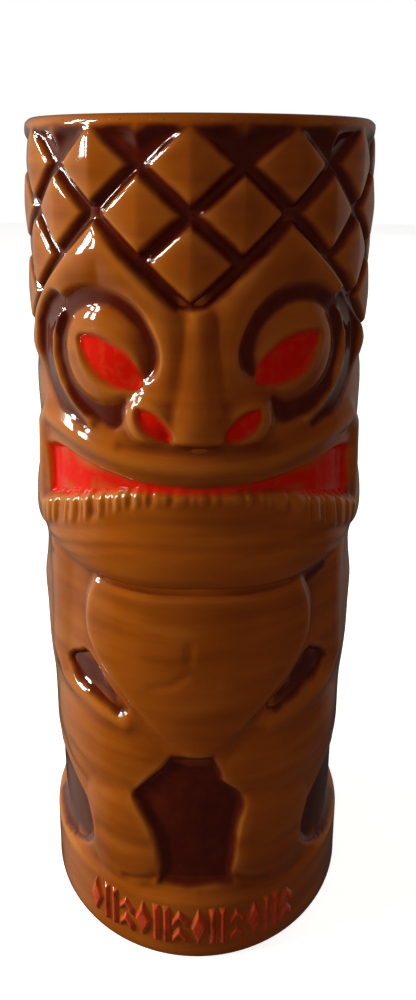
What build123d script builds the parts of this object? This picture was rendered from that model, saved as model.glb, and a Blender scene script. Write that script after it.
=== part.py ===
from build123d import *
import math
import os

import numpy as np

# A ceramic tiki mug: a slip-cast clay body and the glazes fired onto it.
# It stands on z = 0 round the Z axis. The carved face looks along -Y, which is 0 degrees, and angles grow
# towards +X. Left and right are as seen from in front of the face. Lengths are in millimetres, angles in degrees.

# Overall size
HEIGHT = 172.0
BASE_RADIUS = 32.9
RIM_RADIUS = 38.2
MM_PER_DEGREE = 0.64            # arc length of one degree at the middle of the wall

# Clay wall and foot
CAVITY_PROFILE = [(8.5, 23.0), (14.0, 25.8), (45.0, 26.4), (80.0, 28.0), (120.0, 30.2), (150.0, 32.2),
                  (166.0, 33.6)]
CAVITY_FLOOR = 7.0
LIP_ZONE = 2.0                  # height of the plain half-round lip above the carved wall
FOOT_ZONE = 2.0                 # height of the plain turned foot below the carved wall
FOOT_RING_INNER = 25.0
FOOT_RECESS = 1.4
FOOT_EDGE = 0.4
WALL_TOP = HEIGHT - LIP_ZONE
LIP_MIDDLE = BASE_RADIUS + (RIM_RADIUS - BASE_RADIUS) * WALL_TOP / HEIGHT - LIP_ZONE

# Glazes
GLAZE = 0.5
GLAZE_START = 0.4               # the foot is wiped clean below this height
BRUSHED_GLAZE = 0.4
BRUSHED_GAP = 0.03

# Carved surface: columns round the wall, and rows that are closer together over the lattice
COLUMNS = 144
ROW_STEP = 2.0
CROWN_START = 126.7
CROWN_STEP = 1.5

# Cutting prisms, pointing straight out from inside the wall
PRISM_START = 20.0
PRISM_LENGTH = 30.0

# Raised marks round the front of the base band
MARK_COUNT = 12
MARK_START = -39.5
MARK_PITCH = 6.7
MARK_ANGLE = 5.6
MARK_LOW = 3.6
MARK_HIGH = 11.6
MARK_RISE = 0.8

# Crown lattice
LATTICE_ANGLE = -2.5
CELL_ANGLE = 30.0
CELL_HEIGHT = 18.0
LATTICE_ROW = 162.7
LATTICE_END = 126.7
GROOVE_TOP = 166.0              # the grooves run out above this height
GROOVE_HEIGHT = -1.5
GROOVE_FLOOR = 1.1              # half the width of the groove's floor
GROOVE_WALL = 1.5
DIAMOND_EDGE = -0.5
DIAMOND_TOP = 0.75
BROW_PEAK = 153.7
SLOPE_SHARE = 0.73              # level distance to a slanted groove, as a share of the height difference

# Eyes
EYE_ANGLE = 31.5
EYE_HEIGHT = 126.6
RIGHT_EYE_LIFT = 1.1
BALL_WIDTH = 10.0
BALL_HEIGHT = 9.7
BALL_EDGE = -1.3
BALL_TOP = 0.9
RING_FLOOR = -2.1
CHEEK_LIFT = 0.6                # share of the eye's lift that the gouge beside it takes
RING_WIDTH = [(-45, 0.0), (-25, 0.3), (-8, 1.8), (30, 2.3), (70, 2.9), (110, 3.1), (145, 3.0), (175, 2.1),
              (210, 2.0), (240, 2.8), (270, 3.8), (284, 4.5), (295, 3.0), (304, 0.6), (310, 0.0), (315, 0.0)]
EYE_SLOT = (27.6, 125.5)
EYE_SLANT = 31.5
EYE_LENGTH = 8.2
EYE_WIDTH = 3.8
EYE_DEPTH = 1.0

CHEEK_GOUGE = [(48.0, 136.0), (53.5, 133.0), (57.8, 129.5), (59.0, 124.5), (56.5, 119.6), (51.0, 116.2),
               (45.0, 113.8), (38.5, 111.9)]
CHEEK_RIDGE = [(47.5, 133.0), (51.3, 128.5), (51.5, 124.0), (48.0, 119.4), (42.8, 116.2), (35.0, 113.0)]

# Nose
NOSE_CAP = (-1.2, 130.9)        # middle of the bridge's top end, which stands in front of the lattice
NOSE_CAP_ANGLE = 5.2
NOSE_CAP_HEIGHT = 6.0
NOSTRIL = (13.2, 114.3)
NOSTRIL_SLANT = 43.0
NOSTRIL_LENGTH = 4.3
NOSTRIL_WIDTH = 2.0
NOSTRIL_DEPTH = 1.4

# Mouth
MOUTH_TOP = [(0, 102.2), (10, 102.3), (20, 102.7), (30, 103.5), (40, 104.3), (50, 105.2), (57, 105.0),
             (66, 103.0)]
MOUTH_BOTTOM = [(0, 101.2), (10, 101.0), (20, 100.5), (30, 99.0), (40, 97.1), (50, 95.2), (57, 93.6),
                (66, 91.0)]
MOUTH_END = 63.0
MOUTH_DEPTH = 1.5

# Height of the plain wall over the taper, from the base to the rim
FLANK = [(0, 0.0), (12, 0.0), (16, -2.9), (20, -2.1), (24, -1.9), (28, -1.4), (33, -2.6), (41, -2.8),
         (48, -0.7), (54, -0.1), (62, 0.1), (70, 0.3), (75, -0.35), (80, -0.45), (85, 1.1), (92, 1.05),
         (98, 0.1), (104, -0.45), (112, -0.25), (118, -0.3), (124, -1.1), (130, -0.6), (140, 0.0), (172, 0.0)]

# Body: each edge is a line of (height, angle) points
BODY_GROUND = -1.3
RECESS = -2.3
BELLY_EDGE = [(44, 4.0), (48, 13.0), (52, 20.0), (56, 27.0), (60, 33.5), (64, 39.5), (68, 43.0), (72, 43.5),
              (76, 42.5), (80, 39.5), (84, 36.0)]
JAW = [(0, 80.8), (25, 80.4), (45, 81.4), (60, 82.8), (80, 83.0), (180, 82.0)]
LEG_GAP_LEFT = [(15.5, 14.5), (18.5, 13.4), (22.0, 14.2), (26.0, 15.2), (30.0, 18.0), (33.0, 21.5),
                (35.0, 23.2), (37.0, 20.5), (39.5, 17.0), (42.0, 13.0), (44.3, 10.0), (46.0, 8.0)]
LEG_GAP_RIGHT = [(15.5, 13.2), (18.5, 12.8), (22.0, 13.8), (26.0, 14.3), (30.0, 15.3), (34.5, 16.8),
                 (37.0, 14.4), (39.0, 10.2), (42.0, 8.2), (44.5, 6.0), (46.0, 4.8)]
LEG_GAP_FOOT = 15.7
LEG_GAP_TOP = 45.2
HIP_EDGE = [(13.0, 66.0), (14.0, 56.0), (15.5, 49.0), (17.5, 44.5), (21.0, 42.0), (24.0, 42.6), (27.0, 46.0),
            (29.0, 51.0), (31.0, 58.0), (33.0, 68.0)]
HIP_BACK = 93.0
HIP_GLAZE_LOW = 15.2
HIP_GLAZE_HIGH = 29.5
ARM_GAP = [(25.0, 52.9, 54.0), (28.0, 52.0, 55.2), (31.0, 52.4, 56.6), (35.0, 53.0, 58.9), (39.0, 53.5, 61.2),
           (43.0, 54.0, 62.6), (47.0, 54.5, 61.4), (51.0, 56.0, 60.0), (53.0, 57.2, 58.8)]  # (angle, low, high)
RIGHT_ARM_LIFT = 1.0
BASE_BAND = 13.2


def ramp(x, low, high):
    """0 below low, 1 above high, and a smooth rise between them."""
    s = np.clip((x - low) / (high - low), 0.0, 1.0)
    return s * s * (3.0 - 2.0 * s)


def mix(a, b, share):
    return a + (b - a) * share


def union(a, b, blend=1.0):
    """The higher of two heights, with a fillet of about blend where they meet."""
    s = np.clip(0.5 + 0.5 * (a - b) / blend, 0.0, 1.0)
    return mix(b, a, s) + blend * s * (1.0 - s)


def curve(x, points):
    """A smooth curve through (x, value) points."""
    px, py = np.array(points, float).T
    slope = np.gradient(py, px)
    i = np.clip(np.searchsorted(px, x) - 1, 0, len(px) - 2)
    step = px[i + 1] - px[i]
    s = np.clip((x - px[i]) / step, 0.0, 1.0)
    rise = (2 * s**3 - 3 * s**2 + 1) * py[i] + (3 * s**2 - 2 * s**3) * py[i + 1]
    return rise + step * ((s**3 - 2 * s**2 + s) * slope[i] + (s**3 - s**2) * slope[i + 1])


def reach(t, z, path):
    """Distance in mm from each place to a path of (angle, height) points."""
    found = np.full(np.shape(t + z), 1e9)
    for (t0, z0), (t1, z1) in zip(path, path[1:]):
        dx, dz = (t1 - t0) * MM_PER_DEGREE, z1 - z0
        px, pz = (t - t0) * MM_PER_DEGREE, z - z0
        s = np.clip((px * dx + pz * dz) / (dx * dx + dz * dz), 0.0, 1.0)
        found = np.minimum(found, np.hypot(px - s * dx, pz - s * dz))
    return found


def roll(t, z, path, half_width, base, top):
    """A rounded roll along a path."""
    return mix(base, top, 1.0 - ramp(reach(t, z, path), 0.0, half_width))


def mound(t, z, centre, half_angle, half_height, base, top):
    """A rounded mound with an oval foot."""
    away = np.hypot((t - centre[0]) / half_angle, (z - centre[1]) / half_height)
    return mix(base, top, np.sqrt(np.clip(1.0 - away**2, 0.0, 1.0)))


def crease(t, z, path, half_width, depth):
    """How far a soft crease along a path lowers the surface."""
    return depth * (1.0 - ramp(reach(t, z, path), 0.0, half_width))


def from_groove(t, z):
    """Distance in mm from the nearest groove, and how far out and aside from its diamond's middle."""
    u = (t - LATTICE_ANGLE) / CELL_ANGLE
    v = (z - LATTICE_ROW) / CELL_HEIGHT
    p, q = u + v, u - v
    under_lip = np.round(p) > np.round(q)
    p, q = p - np.round(p), q - np.round(q)
    a, b = CELL_ANGLE / 2 * MM_PER_DEGREE, CELL_HEIGHT / 2
    distance = (1.0 - 2.0 * np.maximum(abs(p), abs(q))) * a * b / math.hypot(a, b)
    distance = np.where(under_lip, 0.3 * distance, distance)
    return distance, 2.0 * (abs(p) ** 5 + abs(q) ** 5) ** 0.2, abs(p + q)


def lattice(t, z):
    """Pillowed diamonds, each with a soft upright ridge, between two crossing sets of grooves."""
    distance, out, aside = from_groove(t, z)
    fall = 0.45 * np.clip(out, 0.0, 1.0) ** 1.5 + 0.55 * aside
    diamond = mix(DIAMOND_TOP, DIAMOND_EDGE, fall)
    return mix(GROOVE_HEIGHT, diamond, ramp(distance, GROOVE_FLOOR, GROOVE_FLOOR + GROOVE_WALL))


def below_crown(t, z):
    """Distance in mm below the last groove: two peaks over the brows, level round the back."""
    side = abs(abs(t - LATTICE_ANGLE) - CELL_ANGLE)
    edge = np.maximum(BROW_PEAK - CELL_HEIGHT / CELL_ANGLE * side, LATTICE_END)
    return (edge - z) * SLOPE_SHARE


def nose_cap(t, z):
    """Distance in mm inside the top end of the nose bridge."""
    across = (NOSE_CAP_ANGLE - abs(t - NOSE_CAP[0])) * MM_PER_DEGREE
    return np.minimum(across, NOSE_CAP_HEIGHT - abs(z - NOSE_CAP[1]))


def eye_lift(t):
    """The right eye sits a little higher than the left one."""
    return RIGHT_EYE_LIFT * ramp(t, 5.0, 20.0)


def eye_place(t, z):
    """Distance from the eyeball's outline, direction from its centre, and share of the way out."""
    dx = (abs(t) - EYE_ANGLE) * MM_PER_DEGREE
    dz = z - EYE_HEIGHT - eye_lift(t)
    rho = np.hypot(dx, dz) + 1e-9
    phi = np.degrees(np.arctan2(dz, -dx))
    phi = np.where(phi < -45.0, phi + 360.0, phi)
    edge = BALL_WIDTH * BALL_HEIGHT / np.hypot(BALL_HEIGHT * dx / rho, BALL_WIDTH * dz / rho)
    return rho - edge, phi, rho / edge


def almond(along, across, length, width):
    """Distance-like measure of a pointed oval: below 1 inside, above 1 outside."""
    half = width * np.clip(1.0 - (along / length) ** 2, 0.0, 1.0) ** 0.75
    return np.hypot(across / (half + 0.15), np.clip(abs(along) - length * 0.9, 0.0, None))


def turned_place(dx, dz, slant):
    c, s = math.cos(math.radians(slant)), math.sin(math.radians(slant))
    return dx * c + dz * s, dz * c - dx * s


def eye_slot(t, z):
    """Position along and across the slanted red slot of an eye."""
    return turned_place((abs(t) - EYE_SLOT[0]) * MM_PER_DEGREE, z - EYE_SLOT[1] - eye_lift(t), EYE_SLANT)


def nostril_slot(t, z):
    return turned_place((abs(t) - NOSTRIL[0]) * MM_PER_DEGREE, z - NOSTRIL[1], NOSTRIL_SLANT)


def gouge_width(t):
    """Half the width in mm of the dark gouge outside an eye."""
    return mix(0.7, 2.5, ramp(abs(t), 38.0, 54.0))


def eyes(t, z, ground):
    """Brow roll, ring groove, eyeball and slot of both eyes."""
    side = abs(t)
    brow_path = [(9.0, 121.0), (8.5, 130.0), (11.0, 137.0), (18.0, 142.0), (30.0, 146.5), (42.0, 143.0),
                 (52.0, 138.0), (60.0, 132.0), (65.0, 126.0)]
    brow = roll(side, z - 0.5 * eye_lift(t), brow_path, 8.5, -0.9, 1.0)
    height = union(ground, brow, 0.8)
    gap, phi, share = eye_place(t, z)
    width = curve(phi, RING_WIDTH)
    ring = ramp(gap, -1.4, 0.2) * (1.0 - ramp(gap, width - 0.6, width + 1.2)) * ramp(width, 0.0, 1.2)
    height = mix(height, RING_FLOOR, ring)
    cheek_z = z - CHEEK_LIFT * eye_lift(t)
    away = reach(side, cheek_z, CHEEK_GOUGE) / gouge_width(t)
    height = mix(height, -1.5, 1.0 - ramp(away, 0.3, 1.3))
    height = union(height, roll(side, cheek_z, CHEEK_RIDGE, 2.2, RING_FLOOR, 0.5), 0.3)
    ball = mix(BALL_EDGE, BALL_TOP, np.sqrt(np.clip(1.0 - share**2, 0.0, 1.0)))
    height = mix(height, ball, ramp(-gap, -0.5, 0.9))
    slot = almond(*eye_slot(t, z), EYE_LENGTH, EYE_WIDTH)
    return height - EYE_DEPTH * (1.0 - ramp(slot, 0.75, 1.2))


def nose(t, z, ground):
    """Bridge, tip, wings and nostrils."""
    half = curve(z, [(108, 10.0), (114, 9.6), (118, 9.0), (124, 7.2), (130, 5.8), (136, 4.8), (141, 3.8)])
    crest = curve(z, [(106, 0.0), (110, 1.4), (114, 2.3), (120, 1.9), (130, 1.4), (136, 1.0), (139, 0.2),
                      (142, -1.2)])
    bridge = mix(-1.6, crest, np.clip(1.0 - (t / half) ** 2, 0.0, 1.0) ** 0.5)
    bridge = mix(-1.6, bridge, ramp(z, 108.8, 111.2))
    wings = mound(abs(t), z, (14.0, 115.0), 9.6, 5.8, -1.6, 1.7)
    height = union(ground, union(bridge, wings, 0.8), 0.8)
    slot = almond(*nostril_slot(t, z), NOSTRIL_LENGTH, NOSTRIL_WIDTH)
    return height - NOSTRIL_DEPTH * (1.0 - ramp(slot, 0.7, 1.25))


def mouth(t, z, ground):
    """Upper lip, the open slot and the chin."""
    side = abs(t)
    lip_path = [(0.0, 106.0), (20.0, 106.6), (35.0, 108.4), (50.0, 110.2), (60.0, 111.0), (66.0, 108.0),
                (68.0, 101.0), (70.0, 92.0)]
    lip = roll(side, z, lip_path, 4.8, -1.0, 0.9)
    height = union(ground, lip, 0.8)
    under_nose = [(-24.0, 109.7), (0.0, 109.9), (24.0, 109.7)]
    height = mix(height, -0.4, 1.0 - ramp(reach(t, z, under_nose), 0.2, 1.6))
    low = curve(side, MOUTH_BOTTOM)
    depth = 0.4 + MOUTH_DEPTH * ramp(side, 4.0, 30.0) * (1.0 - 0.45 * ramp(side, 50.0, 62.0))
    bulge = [(-1.0, -1.4), (0.0, -1.0), (1.0, -0.2), (2.5, 0.5), (6.0, 1.1), (10.0, 1.0), (13.0, 0.55),
             (16.0, 0.4), (30.0, 0.4)]
    chin = curve(z - curve(side, JAW), bulge) + 0.15 * ramp(side, 20.0, 60.0)
    chin = chin - 0.3 * (1.0 - ramp(abs(low - 6.2 - z), 0.0, 1.6))
    below = ramp(low - z, -0.6, 0.6) * (1.0 - ramp(side, 66.0, 80.0))
    height = mix(height, chin, below)
    inside = np.minimum(np.minimum(z - low, curve(side, MOUTH_TOP) - z), (MOUTH_END - side) * MM_PER_DEGREE)
    return height - depth * ramp(inside, -0.2, 1.0)


def head_edge(t, z):
    """How far the head has taken over from the body: 1 above the jaw line, 0 under it."""
    return ramp(z - curve(abs(t), JAW), -0.8, 0.6)


def leg_gap_inside(t, z):
    half = np.where(t < 0.0, curve(z, LEG_GAP_LEFT), curve(z, LEG_GAP_RIGHT))
    return np.minimum((half - abs(t)) * MM_PER_DEGREE, np.minimum(z - LEG_GAP_FOOT, LEG_GAP_TOP - z))


def arm_gap_inside(t, z):
    side = abs(t)
    low = curve(side, [(t, low) for t, low, high in ARM_GAP])
    high = curve(side, [(t, high) for t, low, high in ARM_GAP])
    z = z - RIGHT_ARM_LIFT * ramp(t, 5.0, 20.0)
    ends = np.minimum(side - ARM_GAP[0][0], ARM_GAP[-1][0] - side) + 0.5
    return np.minimum(np.minimum(z - low, high - z), ends * MM_PER_DEGREE)


def body(t, z, ground):
    """Belly, arms, legs and the recesses between them, under the chin."""
    side = abs(t)
    height = mix(BODY_GROUND, ground, ramp(side, 66.0, 84.0))
    half = curve(z, BELLY_EDGE)
    crest = curve(z, [(42, -0.9), (48, -0.4), (56, 0.4), (66, 1.0), (76, 0.9), (84, 0.4)])
    inside = (half - side) * MM_PER_DEGREE
    belly = mix(BODY_GROUND - 0.9, crest - 0.5 * np.clip(side / half, 0.0, 1.0) ** 2, ramp(inside, -0.6, 3.0))
    height = union(height, belly, 0.5)
    height = height - 0.7 * (1.0 - ramp(abs(inside + 1.0), 0.0, 2.0)) * ramp(z, 44.0, 54.0)
    arm = roll(side, z, [(58.0, 84.0), (60.0, 70.0), (63.0, 58.0)], 10.0, BODY_GROUND, 0.1)
    forearm = roll(side, z, [(63.0, 58.0), (56.0, 53.5), (42.0, 51.8), (26.0, 50.4)], 5.0, BODY_GROUND, 0.0)
    thigh = mound(side, z, (40.0, 42.0), 30.0, 10.0, BODY_GROUND, 0.1)
    shin = mound(side, z, (29.0, 26.0), 17.0, 14.0, BODY_GROUND, 0.2)
    for part in (arm, forearm, thigh, shin):
        height = union(height, part, 0.6)
    for path in ([(23.0, 36.0), (36.0, 34.5), (52.0, 38.0)], [(15.0, 24.5), (28.0, 23.0), (38.0, 23.5)]):
        height = height - crease(side, z, path, 2.8, 0.25)
    height = height - crease(t, z, [(-2.3, 70.5), (-2.6, 67.5)], 1.6, 0.22)
    height = height - crease(t, z, [(-15.0, 60.5), (-8.0, 62.0), (-2.0, 65.0), (6.0, 62.5)], 1.5, 0.16)
    height = height - crease(side, z, [(27.0, 15.4), (20.0, 16.2), (14.5, 17.2)], 1.0, 0.5)
    height = mix(height, RECESS, ramp(leg_gap_inside(t, z), -0.3, 1.3))
    hip = np.minimum(side - curve(z, HIP_EDGE), HIP_BACK + 5.0 - side) * MM_PER_DEGREE
    height = mix(height, np.minimum(height, RECESS + 0.2), ramp(hip, -0.5, 2.0) * (1.0 - ramp(z, 27.0, 36.0)))
    return mix(height, RECESS, ramp(arm_gap_inside(t, z), -0.3, 1.2))


def relief(t, z):
    """Height of the carved wall over the plain taper, at t degrees round and z mm up."""
    ground = curve(z, FLANK)
    face = mix(-0.6, ground, ramp(abs(t), 60.0, 80.0))
    face = eyes(t, z, face)
    face = nose(t, z, face)
    face = mouth(t, z, face)
    face = mix(face, ground, ramp(abs(t), 70.0, 86.0))
    height = mix(body(t, z, ground), face, head_edge(t, z))
    height = mix(0.0, height, ramp(z, BASE_BAND - 0.8, BASE_BAND + 1.6))
    down = below_crown(t, z)
    height = np.where(down > 0.0, height, lattice(t, z))
    groove = mix(GROOVE_HEIGHT, height, ramp(abs(down), GROOVE_FLOOR, GROOVE_FLOOR + GROOVE_WALL))
    height = mix(groove, face, ramp(nose_cap(t, z), -0.3, 0.5))
    return mix(height, 0.0, ramp(z, GROOVE_TOP, WALL_TOP))


def taper(z):
    return BASE_RADIUS + (RIM_RADIUS - BASE_RADIUS) * z / HEIGHT


def radius(t, z, out=0.0):
    """Radius of the glazed outside at t degrees round and z mm up, moved out by a distance."""
    t, z = (np.asarray(t, float) + 180.0) % 360.0 - 180.0, np.asarray(z, float)
    return taper(z) + relief(t, z) + out


def places(t, z, out=0.0):
    """Points at t degrees round and z mm up, a distance outside the glazed surface."""
    t, z = np.broadcast_arrays(np.asarray(t, float), np.asarray(z, float))
    r, turn = radius(t, z, out), np.radians(t)
    return [tuple(map(float, point)) for point in zip(r * np.sin(turn), -r * np.cos(turn), z)]


def turned(*points):
    """A solid turned from an outline of (radius, height) points."""
    return revolve(Plane.XZ * make_face(Polyline(*points, close=True)), Axis.Z)


def carved_wall(inset):
    """The filled-in outside between the plain foot and the plain lip, moved in by inset."""
    rows = [*np.arange(FOOT_ZONE, CROWN_START - ROW_STEP / 2, ROW_STEP)]
    rows += [*np.arange(CROWN_START, WALL_TOP - CROWN_STEP / 2, CROWN_STEP), WALL_TOP]
    turn = np.arange(COLUMNS) * 360.0 / COLUMNS + 180.0
    share = [i / COLUMNS for i in range(COLUMNS + 1)]
    rings = [Wire([Edge.make_spline(places(turn, z, -inset), periodic=True, parameters=share)]) for z in rows]
    return Solid.make_loft(rings)


def half_round(outer, inner, start, end):
    """The lip between two section radii, turned about Z, over part of its half-round section."""
    big = CenterArc((LIP_MIDDLE, WALL_TOP), outer, start, end - start)
    if inner == 0.0:
        edges = [big, Line(big @ 1, big @ 0)]
    else:
        small = CenterArc((LIP_MIDDLE, WALL_TOP), inner, start, end - start)
        edges = [big, Line(big @ 1, small @ 1), small, Line(small @ 0, big @ 0)]
    return revolve(Plane.XZ * make_face(edges), Axis.Z)


def cavity_line(outset):
    """Half the outline of the hollow, grown by outset, from the axis up to the lip."""
    wall = [(r + outset, z) for z, r in CAVITY_PROFILE] + [(LIP_MIDDLE - LIP_ZONE + outset, WALL_TOP)]
    centre = (0.0, CAVITY_FLOOR - outset)
    corner = (CAVITY_PROFILE[0][1] - 4.0, CAVITY_FLOOR - outset)
    return Line(centre, corner), Spline(corner, *wall)


def cavity(outset):
    floor, wall = cavity_line(outset)
    top = (0.0, WALL_TOP)
    return revolve(Plane.XZ * make_face([floor, wall, Line(wall @ 1, top), Line(top, floor @ 0)]), Axis.Z)


def clay_body():
    foot_top = taper(FOOT_ZONE) - GLAZE
    foot = turned((0.0, 0.0), (foot_top - FOOT_EDGE, 0.0), (foot_top, FOOT_EDGE), (foot_top, FOOT_ZONE),
                  (0.0, FOOT_ZONE))
    recess = turned((0.0, -1.0), (FOOT_RING_INNER, -1.0), (FOOT_RING_INNER, 0.0),
                    (FOOT_RING_INNER - 1.0, FOOT_RECESS), (0.0, FOOT_RECESS))
    solid = carved_wall(GLAZE) + foot - cavity(GLAZE) - recess
    return solid + half_round(LIP_ZONE - GLAZE, 0.0, 0.0, 180.0)


def honey_glaze_coat():
    wall = carved_wall(0.0) - carved_wall(GLAZE)
    inner, outer = taper(FOOT_ZONE) - GLAZE, taper(FOOT_ZONE)
    hem = turned((inner, GLAZE_START), (outer - 0.2, GLAZE_START), (outer, FOOT_ZONE), (inner, FOOT_ZONE))
    return wall + hem + half_round(LIP_ZONE, LIP_ZONE - GLAZE, 0.0, 90.0)


def interior_glaze():
    """The glaze poured into the cavity, up to the middle of the lip."""
    (low, out), (high, inner) = cavity_line(GLAZE), cavity_line(0.0)
    edges = [low, out, Line(out @ 1, inner @ 1), inner, high, Line(high @ 0, low @ 0)]
    return revolve(Plane.XZ * make_face(edges), Axis.Z) + half_round(LIP_ZONE, LIP_ZONE - GLAZE, 90.0, 180.0)


def brushed(stations, across=6):
    """A thin skin of glaze brushed on the coat, through stations that are pairs of (angle, height) ends."""
    share = np.linspace(0.0, 1.0, across)
    sections = []
    for start, end in stations:
        t, z = mix(start[0], end[0], share), mix(start[1], end[1], share)
        low, high = places(t, z, BRUSHED_GAP), places(t, z, BRUSHED_GAP + BRUSHED_GLAZE)
        edges = [Spline(*low), Line(low[-1], high[-1]), Spline(*high[::-1]), Line(high[0], low[0])]
        sections.append(Wire(edges))
    return Solid.make_loft(sections)


def level_rows(rows):
    """Stations along level lines, from (height, first angle, last angle) rows."""
    return [((first, z), (last, z)) for z, first, last in rows]


def upright_rows(rows):
    """Stations along upright lines, from (angle, low height, high height) rows."""
    return [((t, low), (t, high)) for t, low, high in rows]


def slot_rows(slot, centre, side, lift, reach_up, count=9):
    """Level rows across an oval slot, narrowed to sit inside its rim."""
    rows = []
    t = side * np.linspace(centre[0] - 15.0, centre[0] + 15.0, 600)
    for z in np.linspace(centre[1] + lift - reach_up, centre[1] + lift + reach_up, count):
        inside = t[slot(t, z) < 1.0]
        if len(inside) > 8:
            rows.append((float(z), float(inside.min()), float(inside.max())))
    return level_rows(rows)


def eye_glaze(side):
    def slot(t, z):
        return almond(*eye_slot(t, z), EYE_LENGTH - 0.8, EYE_WIDTH - 0.5)
    lift = RIGHT_EYE_LIFT if side > 0 else 0.0
    return brushed(slot_rows(slot, EYE_SLOT, side, lift, 4.8))


def nostril_glaze(side):
    def slot(t, z):
        return almond(*nostril_slot(t, z), NOSTRIL_LENGTH - 0.6, NOSTRIL_WIDTH - 0.4)
    return brushed(slot_rows(slot, NOSTRIL, side, 0.0, 3.0, 7))


def eye_ring_glaze(side):
    """From beside the nose, over the eyeball, down the temple and under it to the cheek."""
    lift = RIGHT_EYE_LIFT if side > 0 else 0.0
    stations = []
    for phi in range(-15, 296, 10):
        c, s = math.cos(math.radians(phi)), math.sin(math.radians(phi))
        edge = BALL_WIDTH * BALL_HEIGHT / math.hypot(BALL_HEIGHT * c, BALL_WIDTH * s)
        width = float(curve(np.float64(phi), RING_WIDTH))
        ends = []
        for rho in (edge + 0.3, edge + 0.3 + max(width - 0.4, 0.5)):
            t = EYE_ANGLE - rho * c / MM_PER_DEGREE
            ends.append((side * t, EYE_HEIGHT + lift + rho * s))
        stations.append(tuple(ends))
    for i in (0, -1):
        (t0, z0), (t1, z1) = stations[i]
        stations[i] = ((t0, (z0 + z1) / 2), (t1, (z0 + z1) / 2))
    return brushed(stations)


def cheek_gouge_glaze(side):
    """Down the floor of the gouge, square to its path, from a level end to an upright one."""
    lift = CHEEK_LIFT * RIGHT_EYE_LIFT if side > 0 else 0.0
    angles = list(enumerate(t for t, z in CHEEK_GOUGE))
    heights = list(enumerate(z for t, z in CHEEK_GOUGE))
    stations = []
    for i in np.linspace(1.0, len(CHEEK_GOUGE) - 1.05, 15):
        t, z = float(curve(i, angles)), float(curve(i, heights)) + lift
        dx = float(curve(i + 0.05, angles) - curve(i - 0.05, angles)) * MM_PER_DEGREE
        dz = float(curve(i + 0.05, heights) - curve(i - 0.05, heights))
        half = float(gouge_width(t)) - 0.4
        across, up = half * dz / math.hypot(dx, dz) / MM_PER_DEGREE, half * dx / math.hypot(dx, dz)
        stations.append(((side * (t - across), z + up), (side * (t + across), z - up)))
    (t0, z0), (t1, z1) = stations[0]
    stations[0] = ((t0, (z0 + z1) / 2), (t1, (z0 + z1) / 2))
    (t0, z0), (t1, z1) = stations[-1]
    stations[-1] = (((t0 + t1) / 2, z0), ((t0 + t1) / 2, z1))
    return brushed(stations)


def mouth_glaze():
    rows = []
    for t in np.linspace(-MOUTH_END + 1.5, MOUTH_END - 1.5, 31):
        low, high = (float(curve(abs(t), line)) for line in (MOUTH_BOTTOM, MOUTH_TOP))
        rows.append((float(t), low + 0.3, high - 0.3))
    return brushed(upright_rows(rows))


def radial_prism(middle, outline, radius_at):
    """A prism pointing straight out at the angle middle, from an outline of (angle, height) points."""
    c, s = math.cos(math.radians(middle)), math.sin(math.radians(middle))
    plane = Plane(origin=(0, 0, 0), x_dir=(c, s, 0), z_dir=(s, -c, 0))
    points = [(radius_at * math.sin(math.radians(t - middle)), z) for t, z in outline]
    return extrude(plane.offset(PRISM_START) * make_face(Polyline(*points, close=True)), PRISM_LENGTH)


def crown_groove_glaze():
    """A thin band on the floor of the grooves, left open at every diamond, over the brows and at the nose."""
    low, high = LATTICE_END - GROOVE_FLOOR, GROOVE_TOP - 0.4
    inner, outer = GROOVE_HEIGHT + BRUSHED_GAP, GROOVE_HEIGHT + BRUSHED_GAP + BRUSHED_GLAZE
    band = turned((taper(low) + inner, low), (taper(low) + outer, low), (taper(high) + outer, high),
                  (taper(high) + inner, high))
    a, b = CELL_ANGLE / 2, CELL_HEIGHT / 2
    groove = a * MM_PER_DEGREE * b / math.hypot(a * MM_PER_DEGREE, b)
    share = 1.0 - GROOVE_FLOOR / groove
    cells = []
    for row in range(-4, 1):
        z = LATTICE_ROW + row * b
        for i in range(round(360 / CELL_ANGLE)):
            t = LATTICE_ANGLE + CELL_ANGLE * i + (a if row % 2 else 0.0)
            outline = [(t - a * share, z), (t, z + b * share), (t + a * share, z), (t, z - b * share)]
            cells.append(radial_prism(t, outline, taper(z) + GROOVE_HEIGHT))
    foot = low - 5.0
    for side in (-1, 1):
        peak = LATTICE_ANGLE + side * CELL_ANGLE
        drop = GROOVE_FLOOR / SLOPE_SHARE
        slope = [(peak + 3 * a * k / 8, BROW_PEAK - drop - 3 * b * abs(k) / 8) for k in range(-8, 9)]
        outline = slope + [(peak + 3 * a, foot), (peak - 3 * a, foot)]
        cells.append(radial_prism(peak, outline, taper(140.0) + GROOVE_HEIGHT))
    middle, top = NOSE_CAP[0], NOSE_CAP[1] + NOSE_CAP_HEIGHT + 0.7
    half = NOSE_CAP_ANGLE + 1.2
    outline = [(middle - half, foot), (middle - half, top), (middle + half, top), (middle + half, foot)]
    return band - cells - radial_prism(middle, outline, taper(top) + GROOVE_HEIGHT)


def arm_gap_glaze(side):
    lift = RIGHT_ARM_LIFT if side > 0 else 0.0
    rows = [(side * t, low + lift + 0.4, high + lift - 0.4) for t, low, high in ARM_GAP]
    return brushed(upright_rows(rows))


def jowl_glaze(side):
    left = [(68.0, 79.9, 81.4), (64.5, 79.6, 81.9), (61.0, 80.0, 81.4)]
    right = [(39.5, 79.1, 79.7), (42.0, 79.2, 80.6), (45.5, 79.7, 81.2), (48.5, 80.6, 81.4)]
    return brushed(upright_rows([(side * t, low, high) for t, low, high in (left if side < 0 else right)]))


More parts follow.
